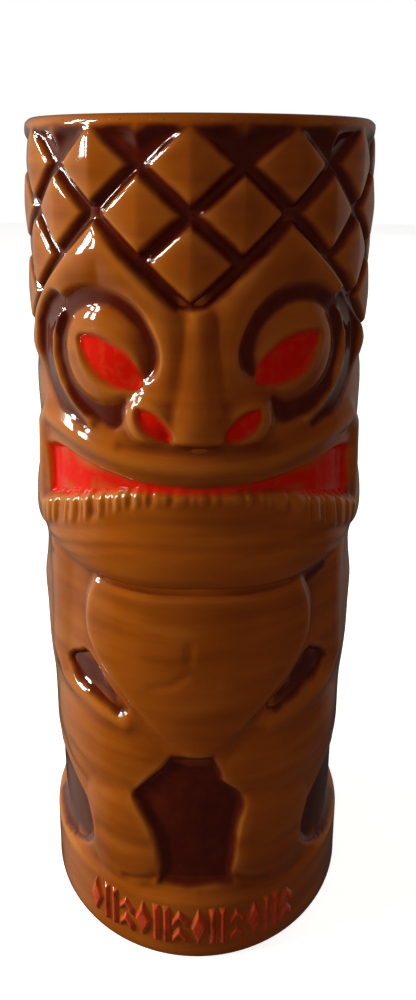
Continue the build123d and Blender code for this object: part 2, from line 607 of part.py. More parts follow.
def leg_gap_glaze():
    rows = []
    for z in np.linspace(LEG_GAP_FOOT + 0.9, LEG_GAP_TOP - 0.9, 13):
        left, right = float(curve(z, LEG_GAP_LEFT)), float(curve(z, LEG_GAP_RIGHT))
        rows.append((float(z), 1.0 - left, right - 1.0))
    return brushed(level_rows(rows), across=14)


def hip_glaze(side):
    """From the front edge of the hollow to its rounded end at the side of the mug."""
    rows = []
    for z in np.linspace(HIP_GLAZE_LOW, HIP_GLAZE_HIGH, 8):
        front = float(curve(z, HIP_EDGE)) + 1.0
        back = HIP_BACK - 0.08 * (z - (HIP_GLAZE_LOW + HIP_GLAZE_HIGH) / 2) ** 2
        rows.append((float(z), side * front, side * back))
    return brushed(level_rows(rows), across=12)


def base_band_marks():
    """A row of raised lozenges, paired bars and chevrons on the base band."""
    low, middle, high = MARK_LOW, (MARK_LOW + MARK_HIGH) / 2, MARK_HIGH
    half = MARK_ANGLE / 2
    bar = 0.3 * half
    marks = []
    for i in range(MARK_COUNT):
        t = MARK_START + MARK_PITCH * i
        if i % 3 == 0:
            outlines = [[(t - half, middle), (t, high), (t + half, middle), (t, low)]]
        elif i % 3 == 1:
            outlines = [[(t + s * half, low), (t + s * bar, low), (t + s * bar, high), (t + s * half, high)]
                        for s in (-1, 1)]
        else:
            outlines = [[(t - half, z), (t, z + 2.0), (t + half, z), (t + half, z + 1.8), (t, z + 3.8),
                         (t - half, z + 1.8)] for z in (low, low + 4.1)]
        marks += [radial_prism(t, outline, BASE_RADIUS) for outline in outlines]
    inner = taper(middle) + BRUSHED_GAP
    outer = inner + MARK_RISE
    band = turned((inner, low - 1.0), (outer, low - 1.0), (outer, high + 1.0), (inner, high + 1.0))
    return Compound([solid for mark in marks for solid in (band & mark).solids()])


NODES = {
    "clay_body": clay_body,
    "honey_glaze_coat": honey_glaze_coat,
    "interior_glaze": interior_glaze,
    "crown_groove_glaze": crown_groove_glaze,
    "mouth_glaze": mouth_glaze,
    "leg_gap_glaze": leg_gap_glaze,
    "base_band_marks": base_band_marks,
}
PAIRED_NODES = {
    "eye_glaze": eye_glaze,
    "eye_ring_glaze": eye_ring_glaze,
    "cheek_gouge_glaze": cheek_gouge_glaze,
    "nostril_glaze": nostril_glaze,
    "jowl_glaze": jowl_glaze,
    "arm_gap_glaze": arm_gap_glaze,
    "hip_glaze": hip_glaze,
}

os.makedirs("parts", exist_ok=True)
shapes = {name: make() for name, make in NODES.items()}
for name, make in PAIRED_NODES.items():
    shapes["left_" + name] = make(-1)
    shapes["right_" + name] = make(1)
for name, shape in shapes.items():
    export_step(shape, f"parts/{name}.step")
    print(name, len(shape.solids()), "solids", round(shape.volume, 1), "mm3")
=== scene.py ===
import math

import bpy
import numpy as np
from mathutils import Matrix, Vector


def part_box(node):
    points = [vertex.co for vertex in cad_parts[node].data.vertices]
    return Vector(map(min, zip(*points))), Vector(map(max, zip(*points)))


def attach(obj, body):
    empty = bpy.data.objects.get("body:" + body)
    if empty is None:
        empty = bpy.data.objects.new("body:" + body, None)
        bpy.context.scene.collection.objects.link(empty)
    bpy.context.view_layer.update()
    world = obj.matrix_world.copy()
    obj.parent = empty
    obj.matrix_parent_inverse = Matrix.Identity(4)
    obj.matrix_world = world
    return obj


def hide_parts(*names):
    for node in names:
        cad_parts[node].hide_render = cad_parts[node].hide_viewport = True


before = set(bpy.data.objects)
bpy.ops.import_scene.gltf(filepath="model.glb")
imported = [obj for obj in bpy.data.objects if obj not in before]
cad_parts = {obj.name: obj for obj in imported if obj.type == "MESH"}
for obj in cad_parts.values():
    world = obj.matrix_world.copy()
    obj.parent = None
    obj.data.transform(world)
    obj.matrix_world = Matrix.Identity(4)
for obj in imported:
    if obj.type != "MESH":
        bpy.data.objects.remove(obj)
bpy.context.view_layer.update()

# A glazed tiki mug on a pale floor. The wall is one height map round the mug, and every glaze lies on that map.
# The carved face looks along -Y, which is 0 degrees, and angles grow towards +X.
# The shape functions work in millimetres and degrees, and meshes are turned into metres as they are made.

MM = 0.001

# Overall size, from the frame
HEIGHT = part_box("interior_glaze")[1][2] / MM
BASE_RADIUS = 32.9
RIM_RADIUS = 38.2
MM_PER_DEGREE = 0.64

# Wall, foot and lip
LIP_ZONE = 2.0
WALL_TOP = HEIGHT - LIP_ZONE
CAVITY_PROFILE = [(8.5, 23.0), (14.0, 25.8), (45.0, 26.4), (80.0, 28.0), (120.0, 30.2), (150.0, 32.2),
                  (166.0, 33.6)]
CAVITY_FLOOR = 7.0
GLAZE = 0.5
GLAZE_START = 0.4
FOOT_ZONE = 2.0                 # height of the plain foot under the carved wall
FOOT_RING_INNER = 25.0
FOOT_RECESS = 1.4
AXIS_GAP = 0.02                 # radius at which the turned pieces close on the axis

# Height maps: columns every STEP_T degrees and rows every STEP_Z mm
STEP_T = 0.5
STEP_Z = 0.4
FRONT = 92.0                    # the coat keeps every column this far round, and every other one behind

# Crown lattice
LATTICE_ANGLE = -2.5
CELL_ANGLE = 30.0
CELL_HEIGHT = 18.0
LATTICE_ROW = 162.7
LATTICE_END = 126.7
GROOVE_TOP = 167.4              # the grooves run out above this height
GROOVE_HEIGHT = -1.5
GROOVE_FLOOR = 0.3              # half the width of the groove's floor
GROOVE_WALL = 1.4
GROOVE_PAINT = 1.5              # half the width of the dark glaze in a groove
DIAMOND_EDGE = -0.5
DIAMOND_TOP = 0.75
BROW_PEAK = 153.7
SLOPE_SHARE = 0.73              # level distance to a slanted groove, as a share of the height difference

# Eyes
EYE_ANGLE = 31.5
EYE_HEIGHT = 126.6
RIGHT_EYE_LIFT = 1.1
BALL_WIDTH = 10.0
BALL_HEIGHT = 9.7
BALL_EDGE = -1.3
BALL_TOP = 0.9
RING_FLOOR = -2.1
CHEEK_FLOOR = -1.5
CHEEK_LIFT = 0.6                # share of the eye's lift that the gouge beside it takes
CHEEK_GOUGE = [(48.0, 136.0), (53.5, 133.0), (57.8, 129.5), (59.0, 124.5), (56.5, 119.6), (51.0, 116.2),
               (45.0, 113.8), (38.5, 111.9)]
CHEEK_RIDGE = [(47.5, 133.0), (51.3, 128.5), (51.5, 124.0), (48.0, 119.4), (42.8, 116.2), (35.0, 113.0)]
RING_WIDTH = [(-45, 0.0), (-25, 0.3), (-8, 1.8), (30, 2.3), (70, 2.9), (110, 3.1), (145, 3.0), (175, 2.1),
              (210, 2.0), (240, 2.8), (270, 3.8), (284, 4.5), (295, 3.0), (304, 0.6), (310, 0.0), (315, 0.0)]
EYE_SLOT = (27.6, 125.5)
EYE_SLANT = 31.5
EYE_LENGTH = 8.2
EYE_WIDTH = 3.8
EYE_DEPTH = 1.0

# Nose
NOSE_CAP = (-1.2, 130.9)        # middle of the bridge's top end, which stands in front of the grooves
NOSE_CAP_ANGLE = 5.2
NOSE_CAP_HEIGHT = 6.0
NOSTRIL = (13.2, 114.3)
NOSTRIL_SLANT = 43.0
NOSTRIL_LENGTH = 4.3
NOSTRIL_WIDTH = 2.0
NOSTRIL_DEPTH = 1.4

# Mouth
MOUTH_TOP = [(0, 102.2), (10, 102.3), (20, 102.7), (30, 103.5), (40, 104.3), (50, 105.2), (57, 105.0),
             (66, 103.0)]
MOUTH_BOTTOM = [(0, 101.2), (10, 101.0), (20, 100.5), (30, 99.0), (40, 97.1), (50, 95.2), (57, 93.6),
                (66, 91.0)]
MOUTH_END = 63.0
MOUTH_DEPTH = 1.5
TOOTH_PITCH = 4.2

# Height of the plain wall over the taper, from the base to the rim
FLANK = [(0, 0.0), (12, 0.0), (16, -2.9), (20, -2.1), (24, -1.9), (28, -1.4), (33, -2.6), (41, -2.8),
         (48, -0.7), (54, -0.1), (62, 0.1), (70, 0.3), (75, -0.35), (80, -0.45), (85, 1.1), (92, 1.05),
         (98, 0.1), (104, -0.45), (112, -0.25), (118, -0.3), (124, -1.1), (130, -0.6), (140, 0.0), (172, 0.0)]

# Body: each edge is a line of (height, angle) points
BODY_GROUND = -1.3
RECESS = -2.3
BELLY_EDGE = [(44, 4.0), (48, 13.0), (52, 20.0), (56, 27.0), (60, 33.5), (64, 39.5), (68, 43.0), (72, 43.5),
              (76, 42.5), (80, 39.5), (84, 36.0)]
JAW = [(0, 80.8), (25, 80.4), (45, 81.4), (60, 82.8), (80, 83.0), (180, 82.0)]           # (angle, height)
JOWLS = {-1: [(68.0, 80.6), (64.5, 80.9), (61.0, 80.7)], 1: [(40.5, 79.6), (44.5, 80.3), (48.0, 81.0)]}
JOWL_WIDTH = 0.95               # half the width of the painted shade patches under the jaw
LEG_GAP_LEFT = [(15.5, 14.5), (18.5, 13.4), (22.0, 14.2), (26.0, 15.2), (30.0, 18.0), (33.0, 21.5),
                (35.0, 23.2), (37.0, 20.5), (39.5, 17.0), (42.0, 13.0), (44.3, 10.0), (46.0, 8.0)]
LEG_GAP_RIGHT = [(15.5, 13.2), (18.5, 12.8), (22.0, 13.8), (26.0, 14.3), (30.0, 15.3), (34.5, 16.8),
                 (37.0, 14.4), (39.0, 10.2), (42.0, 8.2), (44.5, 6.0), (46.0, 4.8)]
LEG_GAP_FOOT = 15.7
LEG_GAP_TOP = 45.2
HIP_EDGE = [(13.0, 66.0), (14.0, 56.0), (15.5, 49.0), (17.5, 44.5), (21.0, 42.0), (24.0, 42.6), (27.0, 46.0),
            (29.0, 51.0), (31.0, 58.0), (33.0, 68.0)]
HIP_BACK = 93.0                 # angle of the hollow's back end
HIP_LOW = 13.3
HIP_HIGH = 31.5
ARM_GAP = [(25.0, 52.9, 54.0), (28.0, 52.0, 55.2), (31.0, 52.4, 56.6), (35.0, 53.0, 58.9), (39.0, 53.5, 61.2),
           (43.0, 54.0, 62.6), (47.0, 54.5, 61.4), (51.0, 56.0, 60.0), (53.0, 57.2, 58.8)]  # (angle, low, high)
RIGHT_ARM_LIFT = 1.0
BASE_BAND = 13.2

# Raised marks round the front of the base band
MARK_COUNT = 12
MARK_START = -39.5
MARK_PITCH = 6.7
MARK_ANGLE = 5.6
MARK_LOW = 3.6
MARK_HIGH = 11.6
MARK_RISE = 0.7


# ---------------------------------------------------------------- shape tools

def ramp(x, low, high):
    """0 below low, 1 above high, and a smooth rise between them."""
    s = np.clip((x - low) / (high - low), 0.0, 1.0)
    return s * s * (3.0 - 2.0 * s)


def mix(a, b, share):
    return a + (b - a) * share


def union(a, b, blend=1.0):
    """The higher of two heights, with a fillet of about blend where they meet."""
    s = np.clip(0.5 + 0.5 * (a - b) / blend, 0.0, 1.0)
    return mix(b, a, s) + blend * s * (1.0 - s)


def curve(x, points):
    """A smooth curve through (x, value) points."""
    px, py = np.array(points, float).T
    slope = np.gradient(py, px)
    i = np.clip(np.searchsorted(px, x) - 1, 0, len(px) - 2)
    step = px[i + 1] - px[i]
    s = np.clip((x - px[i]) / step, 0.0, 1.0)
    rise = (2 * s**3 - 3 * s**2 + 1) * py[i] + (3 * s**2 - 2 * s**3) * py[i + 1]
    return rise + step * ((s**3 - 2 * s**2 + s) * slope[i] + (s**3 - s**2) * slope[i + 1])


def reach(t, z, path):
    """Distance in mm from each place to a path of (angle, height) points."""
    found = np.full(np.shape(t + z), 1e9)
    for (t0, z0), (t1, z1) in zip(path, path[1:]):
        dx, dz = (t1 - t0) * MM_PER_DEGREE, z1 - z0
        px, pz = (t - t0) * MM_PER_DEGREE, z - z0
        s = np.clip((px * dx + pz * dz) / (dx * dx + dz * dz), 0.0, 1.0)
        found = np.minimum(found, np.hypot(px - s * dx, pz - s * dz))
    return found


def roll(t, z, path, half_width, base, top):
    """A rounded roll along a path."""
    return mix(base, top, 1.0 - ramp(reach(t, z, path), 0.0, half_width))


def mound(t, z, centre, half_angle, half_height, base, top):
    """A rounded mound with an oval foot."""
    away = np.hypot((t - centre[0]) / half_angle, (z - centre[1]) / half_height)
    return mix(base, top, np.sqrt(np.clip(1.0 - away**2, 0.0, 1.0)))


def crease(t, z, path, half_width, depth):
    """How far a soft crease along a path lowers the surface."""
    return depth * (1.0 - ramp(reach(t, z, path), 0.0, half_width))


def blur(grid, size):
    """A map smoothed over about size mm, round the mug and up it."""
    for axis, step, edge in ((1, STEP_T * MM_PER_DEGREE, "wrap"), (0, STEP_Z, "edge")):
        span = int(math.ceil(2.5 * size / step))
        weights = np.exp(-0.5 * (np.arange(-span, span + 1) * step / size) ** 2)
        pads = [(span, span) if a == axis else (0, 0) for a in (0, 1)]
        padded = np.pad(grid, pads, mode=edge)
        count = grid.shape[axis]
        grid = sum(w * padded.take(range(k, k + count), axis) for k, w in enumerate(weights)) / weights.sum()
    return grid


def lowest(grid, size):
    """The lowest value of a map within size mm of each place."""
    for axis, step in ((1, STEP_T * MM_PER_DEGREE), (0, STEP_Z)):
        span = int(size / step)
        shifted = [np.roll(grid, k, axis) for k in range(-span, span + 1, 2)]
        grid = np.minimum.reduce(shifted)
    return grid


def mottle(seed, across, up):
    """A smooth random map with blotches about across by up mm, mostly between -1 and 1."""
    rows, columns = T.shape
    noise = np.random.default_rng(seed).standard_normal((rows, columns))
    wave_t = np.fft.fftfreq(columns, STEP_T * MM_PER_DEGREE)[None, :]
    wave_z = np.fft.fftfreq(rows, STEP_Z)[:, None]
    keep = np.exp(-2.0 * ((wave_t * across) ** 2 + (wave_z * up) ** 2) * math.pi)
    soft = np.fft.ifft2(np.fft.fft2(noise) * keep).real
    return soft / (2.0 * soft.std())


# ---------------------------------------------------------------- the carved wall

def from_groove(t, z):
    """Distance in mm from the nearest groove, and how far out and aside from its diamond's middle."""
    u = (t - LATTICE_ANGLE) / CELL_ANGLE
    v = (z - LATTICE_ROW) / CELL_HEIGHT
    p, q = u + v, u - v
    under_lip = np.round(p) > np.round(q)
    p, q = p - np.round(p), q - np.round(q)
    a, b = CELL_ANGLE / 2 * MM_PER_DEGREE, CELL_HEIGHT / 2
    distance = (1.0 - 2.0 * np.maximum(abs(p), abs(q))) * a * b / math.hypot(a, b)
    distance = np.where(under_lip, 0.3 * distance, distance)
    return distance, 2.0 * (abs(p) ** 5 + abs(q) ** 5) ** 0.2, abs(p + q)


def lattice(t, z):
    """Pillowed diamonds, each with a soft upright ridge, between two crossing sets of grooves."""
    distance, out, aside = from_groove(t, z)
    fall = 0.45 * np.clip(out, 0.0, 1.0) ** 1.5 + 0.55 * aside
    diamond = mix(DIAMOND_TOP, DIAMOND_EDGE, fall)
    return mix(GROOVE_HEIGHT, diamond, ramp(distance, GROOVE_FLOOR, GROOVE_FLOOR + GROOVE_WALL))


def below_crown(t, z):
    """Distance in mm below the last groove: two peaks over the brows, level round the back."""
    side = abs(abs(t - LATTICE_ANGLE) - CELL_ANGLE)
    edge = np.maximum(BROW_PEAK - CELL_HEIGHT / CELL_ANGLE * side, LATTICE_END)
    return (edge - z) * SLOPE_SHARE


def nose_cap(t, z):
    """Distance in mm inside the top end of the nose bridge."""
    across = (NOSE_CAP_ANGLE - abs(t - NOSE_CAP[0])) * MM_PER_DEGREE
    return np.minimum(across, NOSE_CAP_HEIGHT - abs(z - NOSE_CAP[1]))


def eye_lift(t):
    """The right eye sits a little higher than the left one."""
    return RIGHT_EYE_LIFT * ramp(t, 5.0, 20.0)


def eye_place(t, z):
    """Distance from the eyeball's outline, direction from its centre, and share of the way out."""
    dx = (abs(t) - EYE_ANGLE) * MM_PER_DEGREE
    dz = z - EYE_HEIGHT - eye_lift(t)
    rho = np.hypot(dx, dz) + 1e-9
    phi = np.degrees(np.arctan2(dz, -dx))
    phi = np.where(phi < -45.0, phi + 360.0, phi)
    edge = BALL_WIDTH * BALL_HEIGHT / np.hypot(BALL_HEIGHT * dx / rho, BALL_WIDTH * dz / rho)
    return rho - edge, phi, rho / edge


def almond(along, across, length, width):
    """Distance-like measure of a pointed oval: below 1 inside, above 1 outside."""
    half = width * np.clip(1.0 - (along / length) ** 2, 0.0, 1.0) ** 0.75
    return np.hypot(across / (half + 0.15), np.clip(abs(along) - length * 0.9, 0.0, None))


def turned_place(dx, dz, slant):
    """Position along and across a line that slants up by some degrees."""
    c, s = math.cos(math.radians(slant)), math.sin(math.radians(slant))
    return dx * c + dz * s, dz * c - dx * s


def eye_slot(t, z):
    """Position along and across the slanted slot of an eye."""
    return turned_place((abs(t) - EYE_SLOT[0]) * MM_PER_DEGREE, z - EYE_SLOT[1] - eye_lift(t), EYE_SLANT)


def nostril_slot(t, z):
    """Position along and across a nostril."""
    return turned_place((abs(t) - NOSTRIL[0]) * MM_PER_DEGREE, z - NOSTRIL[1], NOSTRIL_SLANT)


def gouge_width(t):
    """Half the width in mm of the dark gouge outside an eye."""
    return mix(0.7, 2.5, ramp(abs(t), 38.0, 54.0))


def eyes(t, z, ground):
    """Brow roll, ring groove, cheek gouge and its ridge, eyeball, slot and lids of both eyes."""
    side = abs(t)
    brow_path = [(9.0, 121.0), (8.5, 130.0), (11.0, 137.0), (18.0, 142.0), (30.0, 146.5), (42.0, 143.0),
                 (52.0, 138.0), (60.0, 132.0), (65.0, 126.0)]
    brow = roll(side, z - 0.5 * eye_lift(t), brow_path, 8.5, -0.9, 1.0)
    height = union(ground, brow, 0.8)
    gap, phi, share = eye_place(t, z)
    width = curve(phi, RING_WIDTH)
    ring = ramp(gap, -1.4, 0.2) * (1.0 - ramp(gap, width - 0.6, width + 1.2)) * ramp(width, 0.0, 1.2)
    height = mix(height, RING_FLOOR, ring)
    cheek_z = z - CHEEK_LIFT * eye_lift(t)
    away = reach(side, cheek_z, CHEEK_GOUGE) / gouge_width(t)
    height = mix(height, CHEEK_FLOOR, 1.0 - ramp(away, 0.3, 1.3))
    height = union(height, roll(side, cheek_z, CHEEK_RIDGE, 2.2, RING_FLOOR, 0.5), 0.3)
    ball = mix(BALL_EDGE, BALL_TOP, np.sqrt(np.clip(1.0 - share**2, 0.0, 1.0)))
    height = mix(height, ball, ramp(-gap, -0.5, 0.9))
    slot = almond(*eye_slot(t, z), EYE_LENGTH, EYE_WIDTH)
    height = height - EYE_DEPTH * (1.0 - ramp(slot, 0.75, 1.2))
    height = height + 0.16 * (1.0 - ramp(abs(slot - 1.4), 0.0, 0.3))
    inner = (1.0 - ramp(abs(phi - 25.0), 35.0, 60.0)) * ramp(gap, -0.2, 0.4) * (1.0 - ramp(gap, 2.2, 3.0))
    return height + 0.22 * inner * np.cos(2 * math.pi * gap / 0.95)


def nose(t, z, ground):
    """Bridge, tip, wings and nostrils."""
    half = curve(z, [(108, 10.0), (114, 9.6), (118, 9.0), (124, 7.2), (130, 5.8), (136, 4.8), (141, 3.8)])
    crest = curve(z, [(106, 0.0), (110, 1.4), (114, 2.3), (120, 1.9), (130, 1.4), (136, 1.0), (139, 0.2),
                      (142, -1.2)])
    bridge = mix(-1.6, crest, np.clip(1.0 - (t / half) ** 2, 0.0, 1.0) ** 0.5)
    bridge = mix(-1.6, bridge, ramp(z, 108.8, 111.2))
    wings = mound(abs(t), z, (14.0, 115.0), 9.6, 5.8, -1.6, 1.7)
    height = union(ground, union(bridge, wings, 0.8), 0.8)
    slot = almond(*nostril_slot(t, z), NOSTRIL_LENGTH, NOSTRIL_WIDTH)
    return height - NOSTRIL_DEPTH * (1.0 - ramp(slot, 0.7, 1.25))


def tooth_wave(t):
    """1 on a tooth and 0 between two, unevenly spaced."""
    wander = 1.3 * np.sin(t * 0.31) + 0.8 * np.sin(t * 0.83 + 1.0) + 0.4 * np.sin(t * 1.9)
    return abs(np.sin(math.pi * (t + wander) / TOOTH_PITCH)) ** 0.7


def mouth_inside(t, z):
    """Distance in mm inside the mouth's outline."""
    side = abs(t)
    low = curve(side, MOUTH_BOTTOM) + 0.5 * tooth_wave(t) * ramp(side, 4.0, 16.0)
    return np.minimum(np.minimum(z - low, curve(side, MOUTH_TOP) - z), (MOUTH_END - side) * MM_PER_DEGREE)


def teeth(t, z):
    """Small upright knobs under the mouth, taller towards its ends."""
    side = abs(t)
    low = curve(side, MOUTH_BOTTOM) + 0.3
    tall = mix(3.0, 6.2, ramp(side, 6.0, 52.0))
    band = ramp(low - z, -0.3, 0.7) * (1.0 - ramp(low - z, tall - 1.2, tall)) * (1.0 - ramp(side, 63.0, 67.0))
    return band * mix(-0.65, 0.4, tooth_wave(t)) * mix(0.45, 1.0, ramp(side, 4.0, 22.0))


def mouth(t, z, ground):
    """Upper lip, the open slot, the band of teeth and the chin with its flow lines."""
    side = abs(t)
    lip_path = [(0.0, 106.0), (20.0, 106.6), (35.0, 108.4), (50.0, 110.2), (60.0, 111.0), (66.0, 108.0),
                (68.0, 101.0), (70.0, 92.0)]
    lip = roll(side, z, lip_path, 4.8, -1.0, 0.9)
    height = union(ground, lip, 0.8)
    under_nose = [(-24.0, 109.7), (0.0, 109.9), (24.0, 109.7)]
    height = mix(height, -0.4, 1.0 - ramp(reach(t, z, under_nose), 0.2, 1.6))
    low = curve(side, MOUTH_BOTTOM)
    depth = 0.4 + MOUTH_DEPTH * ramp(side, 4.0, 30.0) * (1.0 - 0.45 * ramp(side, 50.0, 62.0))
    bulge = [(-1.0, -1.4), (0.0, -1.0), (1.0, -0.2), (2.5, 0.5), (6.0, 1.1), (10.0, 1.0), (13.0, 0.55),
             (16.0, 0.4), (30.0, 0.4)]
    chin = curve(z - curve(side, JAW), bulge) + 0.15 * ramp(side, 20.0, 60.0)
    chin = chin - 0.3 * (1.0 - ramp(abs(low - 6.2 - z), 0.0, 1.6))
    flow = ramp(low - z, 4.0, 6.0) * (1.0 - ramp(low - z, 11.0, 14.0))
    chin = chin + 0.10 * flow * np.sin((low - z) * 2.1 + side * 0.05)
    below = ramp(low - z, -0.6, 0.6) * (1.0 - ramp(side, 66.0, 80.0))
    height = mix(height, chin, below)
    return height - depth * ramp(mouth_inside(t, z), -0.2, 1.0) + teeth(t, z)


def head_edge(t, z):
    """How far the head has taken over from the body: 1 above the jaw line, 0 under it."""
    return ramp(z - curve(abs(t), JAW), -0.8, 0.6)


def leg_gap_inside(t, z):
    """Distance in mm inside the gap between the legs."""
    half = np.where(t < 0.0, curve(z, LEG_GAP_LEFT), curve(z, LEG_GAP_RIGHT))
    return np.minimum((half - abs(t)) * MM_PER_DEGREE, np.minimum(z - LEG_GAP_FOOT, LEG_GAP_TOP - z))


def hip_inside(t, z):
    """Distance in mm inside the dark hollow at a hip, which is rounded at the back."""
    side = abs(t)
    back = HIP_BACK - 0.12 * (z - (HIP_LOW + HIP_HIGH) / 2) ** 2
    edge = np.minimum(side - curve(z, HIP_EDGE), back - side) * MM_PER_DEGREE
    return np.minimum(edge, np.minimum(z - HIP_LOW, HIP_HIGH - z))


def arm_gap_inside(t, z):
    """Distance in mm inside the gap between an arm and the belly."""
    side = abs(t)
    low = curve(side, [(t, low) for t, low, high in ARM_GAP])
    high = curve(side, [(t, high) for t, low, high in ARM_GAP])
    z = z - RIGHT_ARM_LIFT * ramp(t, 5.0, 20.0)
    ends = np.minimum(side - ARM_GAP[0][0], ARM_GAP[-1][0] - side) + 0.5
    return np.minimum(np.minimum(z - low, high - z), ends * MM_PER_DEGREE)


def body(t, z, ground):
    """Belly, arms, legs and the recesses between them, under the chin."""
    side = abs(t)
    height = mix(BODY_GROUND, ground, ramp(side, 66.0, 84.0))
    half = curve(z, BELLY_EDGE)
    crest = curve(z, [(42, -0.9), (48, -0.4), (56, 0.4), (66, 1.0), (76, 0.9), (84, 0.4)])
    inside = (half - side) * MM_PER_DEGREE
    belly = mix(BODY_GROUND - 0.9, crest - 0.5 * np.clip(side / half, 0.0, 1.0) ** 2, ramp(inside, -0.6, 3.0))
    height = union(height, belly, 0.5)
    height = height - 0.7 * (1.0 - ramp(abs(inside + 1.0), 0.0, 2.0)) * ramp(z, 44.0, 54.0)
    arm = roll(side, z, [(58.0, 84.0), (60.0, 70.0), (63.0, 58.0)], 10.0, BODY_GROUND, 0.1)
    forearm = roll(side, z, [(63.0, 58.0), (56.0, 53.5), (42.0, 51.8), (26.0, 50.4)], 5.0, BODY_GROUND, 0.0)
    thigh = mound(side, z, (40.0, 42.0), 30.0, 10.0, BODY_GROUND, 0.1)
    shin = mound(side, z, (29.0, 26.0), 17.0, 14.0, BODY_GROUND, 0.2)
    for part in (arm, forearm, thigh, shin):
        height = union(height, part, 0.6)
    for path in ([(23.0, 36.0), (36.0, 34.5), (52.0, 38.0)], [(15.0, 24.5), (28.0, 23.0), (38.0, 23.5)]):
        height = height - crease(side, z, path, 2.8, 0.25)
    height = height - crease(t, z, [(-2.3, 70.5), (-2.6, 67.5)], 1.6, 0.22)
    height = height - crease(t, z, [(-15.0, 60.5), (-8.0, 62.0), (-2.0, 65.0), (6.0, 62.5)], 1.5, 0.16)
    height = height - crease(side, z, [(27.0, 15.4), (20.0, 16.2), (14.5, 17.2)], 1.0, 0.5)
    height = mix(height, RECESS, ramp(leg_gap_inside(t, z), -0.3, 1.3))
    hip = np.minimum(side - curve(z, HIP_EDGE), HIP_BACK + 5.0 - side) * MM_PER_DEGREE
    height = mix(height, np.minimum(height, RECESS + 0.2), ramp(hip, -0.5, 2.0) * (1.0 - ramp(z, 27.0, 36.0)))
    return mix(height, RECESS, ramp(arm_gap_inside(t, z), -0.3, 1.2))


def relief(t, z):
    """Height of the carved wall over the plain taper, at t degrees round and z mm up."""
    ground = curve(z, FLANK)
    face = mix(-0.6, ground, ramp(abs(t), 60.0, 80.0))
    face = eyes(t, z, face)
    face = nose(t, z, face)
    face = mouth(t, z, face)
    face = mix(face, ground, ramp(abs(t), 70.0, 86.0))
    height = mix(body(t, z, ground), face, head_edge(t, z))
    height = mix(0.0, height, ramp(z, BASE_BAND - 0.8, BASE_BAND + 1.6))
    down = below_crown(t, z)
    height = np.where(down > 0.0, height, lattice(t, z))
    groove = mix(GROOVE_HEIGHT, height, ramp(abs(down), GROOVE_FLOOR, GROOVE_FLOOR + GROOVE_WALL))
    height = mix(groove, face, ramp(nose_cap(t, z), -0.3, 0.5))
    return mix(height, 0.0, ramp(z, GROOVE_TOP, WALL_TOP))


def taper(z):
    return BASE_RADIUS + (RIM_RADIUS - BASE_RADIUS) * z / HEIGHT


T, Z = np.meshgrid(np.arange(-180.0, 180.0, STEP_T), np.arange(0.0, HEIGHT + STEP_Z / 2, STEP_Z))
QUIET_ENDS = ramp(Z, 3.0, 8.0) * (1.0 - ramp(Z, WALL_TOP - 7.0, WALL_TOP - 2.0))
HAND_MADE = (0.10 * mottle(11, 9.0, 9.0) + 0.03 * mottle(12, 3.5, 3.0)) * QUIET_ENDS
RELIEF = blur(relief(T, Z), 0.38) + HAND_MADE
LOWEST = lowest(RELIEF, 2.4)


def sample(grid, t, z):
    """A map's values at t degrees round and z mm up."""
    column = (np.asarray(t, float) + 180.0) % 360.0 / STEP_T
    row = np.clip(np.asarray(z, float) / STEP_Z, 0.0, len(grid) - 1.001)
    c, r = np.floor(column).astype(int), np.floor(row).astype(int)
    s, u = column - c, row - r
    c, d = c % grid.shape[1], (c + 1) % grid.shape[1]
    return mix(mix(grid[r, c], grid[r, d], s), mix(grid[r + 1, c], grid[r + 1, d], s), u)


def points_at(t, z, out=0.0):
    """Points of the glazed wall, moved out by a distance, as an array with x, y and z last."""
    t, z = np.broadcast_arrays(np.asarray(t, float), np.asarray(z, float))
    r, turn = taper(z) + sample(RELIEF, t, z) + out, np.radians(t)
    return np.stack([r * np.sin(turn), -r * np.cos(turn), z], -1)


# ---------------------------------------------------------------- where each glaze lies

WOBBLE = 0.22 * mottle(21, 2.6, 2.6) + 0.10 * mottle(22, 0.9, 0.9)


def groove_paint(t, z):
    distance, _, _ = from_groove(t, z)
    down = below_crown(t, z)
    lines = np.where(down > 0.0, GROOVE_PAINT - down, GROOVE_PAINT - np.minimum(distance, abs(down)))
    lines = np.minimum(lines, 0.3 - nose_cap(t, z))
    arch = abs(np.sin(math.pi * (t - LATTICE_ANGLE) / CELL_ANGLE))
    return np.minimum(lines, WALL_TOP - 0.4 + 0.5 * arch - z)


def eye_paint(t, z):
    return (1.0 - almond(*eye_slot(t, z), EYE_LENGTH - 0.2, EYE_WIDTH)) * 2.4


def nostril_paint(t, z):
    return (1.0 - almond(*nostril_slot(t, z), NOSTRIL_LENGTH, NOSTRIL_WIDTH)) * 2.0


def eye_ring_paint(t, z):
    gap, phi, _ = eye_place(t, z)
    width = curve(phi, RING_WIDTH)
    return np.minimum(np.minimum(gap + 0.1, width - gap + 0.1), (width - 0.6) * 2.0)


def cheek_gouge_paint(t, z):
    return gouge_width(t) - reach(abs(t), z - CHEEK_LIFT * eye_lift(t), CHEEK_GOUGE)


# Painted shade: dark patches under the jaw, drawn in the dark glaze colour.
def jowl_painted_shade(t, z):
    left, right = (JOWL_WIDTH - reach(side * t, z, JOWLS[side]) for side in (-1, 1))
    return np.where(t < 0.0, left, right)


